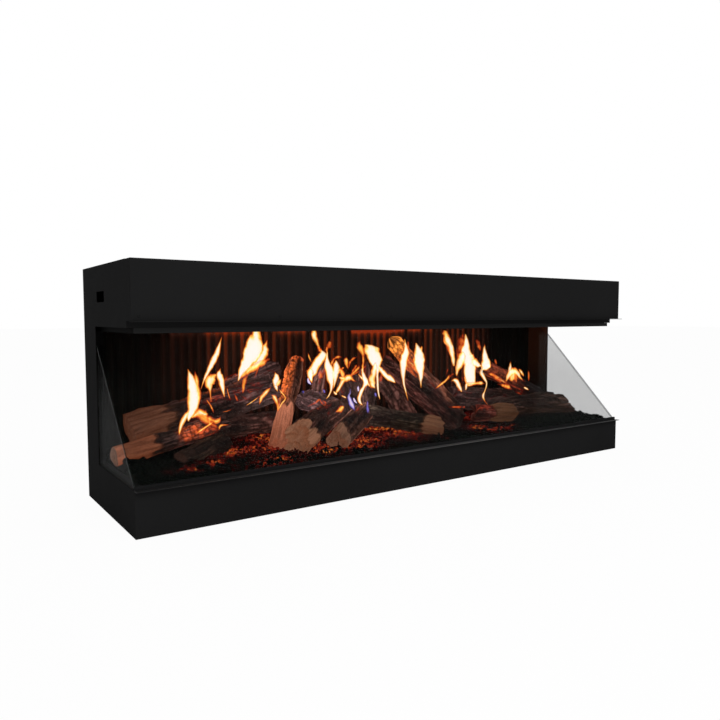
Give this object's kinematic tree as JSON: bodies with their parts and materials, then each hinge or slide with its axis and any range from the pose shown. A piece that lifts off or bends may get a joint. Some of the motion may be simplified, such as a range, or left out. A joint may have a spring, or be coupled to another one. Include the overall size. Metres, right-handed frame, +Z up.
{
  "type": "three-sided electric fireplace",
  "caption": "Built-in electric fireplace with an open front and open ends: displays in the header reflect flames in an inclined glass over ceramic logs.",
  "frame": {"origin": "middle of the footprint of the case and its plaster lips, on the surface that the case stands on", "axes": "+X along the case's length, +Z up, the open front towards -Y"},
  "size_m": [1.85, 0.478, 0.65],
  "materials": {
    "black_steel": "fine matt powder coat on folded steel sheet",
    "zinc_steel": "zinc plated sheet",
    "display": "glossy panel face",
    "blower_aluminium": "plain rolled sheet",
    "motor_steel": "oiled laminations",
    "brass": "turned",
    "heater_ceramic": "fired, matt",
    "black_plastic": "moulded, matt",
    "tinted_glass": "tempered, lightly mirrored",
    "clear_glass": "tempered, clear",
    "ribbed_board": "matt dark lining with pressed ribs",
    "amber_diffuser": "translucent amber",
    "charcoal": "loose char and ash",
    "fired_ceramic": "fired fibre ceramic, painted as charred wood",
    "circuit_board": "solder resist"
  },
  "bodies": {
    "case": {"bottom_plate": "black_steel", "base_apron": "black_steel", "left_side_panel": "black_steel", "right_side_panel": "black_steel", "back_panel": "black_steel", "top_cover": "black_steel", "header_fascia": "black_steel", "upper_plaster_lip": "black_steel", "lower_plaster_lip": "black_steel", "header_tray": "black_steel", "screen_bezel": "black_steel", "warm_air_grille": "black_steel", "glass_front_rail": "black_steel", "glass_top_rail": "black_steel", "left_post_cover": "black_steel", "right_post_cover": "black_steel", "fuel_bed_tray": "black_steel", "front_display_strap": "zinc_steel", "rear_display_strap": "zinc_steel", "heater_housing": "zinc_steel", "power_supply": "zinc_steel", "left_ember_light": "zinc_steel", "right_ember_light": "zinc_steel", "left_display": "display", "centre_display": "display", "right_display": "display", "blower_motor": "motor_steel", "blower_bearing": "brass", "heating_element": "heater_ceramic", "left_fan_frame": "black_plastic", "right_fan_frame": "black_plastic", "speaker": "black_plastic", "mains_inlet": "black_plastic", "switch_body": "black_plastic", "inclined_glass": "tinted_glass", "left_side_glass": "clear_glass", "right_side_glass": "clear_glass", "ribbed_back_panel": "ribbed_board", "ember_diffuser": "amber_diffuser", "ember_bed": "charcoal", "log_crossing": "fired_ceramic", "log_long": "fired_ceramic", "log_stump_large": "fired_ceramic", "log_leaning": "fired_ceramic", "log_stump_small": "fired_ceramic", "log_centre_low": "fired_ceramic", "log_left_front": "fired_ceramic", "log_left_low": "fired_ceramic", "log_left_rear": "fired_ceramic", "log_right_large": "fired_ceramic", "log_right_short": "fired_ceramic", "log_right_back": "fired_ceramic", "log_right_upper": "fired_ceramic", "log_left_ridge": "fired_ceramic", "log_centre_back": "fired_ceramic", "control_board": "circuit_board"},
    "blower": {"blower_impeller": "blower_aluminium"},
    "left_fan": {"left_fan_rotor": "black_plastic"},
    "right_fan": {"right_fan_rotor": "black_plastic"},
    "rocker": {"switch_rocker": "black_plastic"}
  },
  "joints": [
    {"name": "blower_spin", "type": "hinge", "parent": "case", "child": "blower", "pos_m": [0, -0.1169, 0.5735], "axis": [1, 0, 0], "continuous": true},
    {"name": "left_fan_spin", "type": "hinge", "parent": "case", "child": "left_fan", "pos_m": [-0.49853, 0.149, 0.6482], "axis": [0, 0, 1], "continuous": true},
    {"name": "right_fan_spin", "type": "hinge", "parent": "case", "child": "right_fan", "pos_m": [0.49853, 0.149, 0.6482], "axis": [0, 0, 1], "continuous": true},
    {"name": "rocker_tilt", "type": "hinge", "parent": "case", "child": "rocker", "pos_m": [0.82, 0.2335, 0.056], "axis": [-1, 0, 0], "range_deg": [0, 16]}
  ]
}
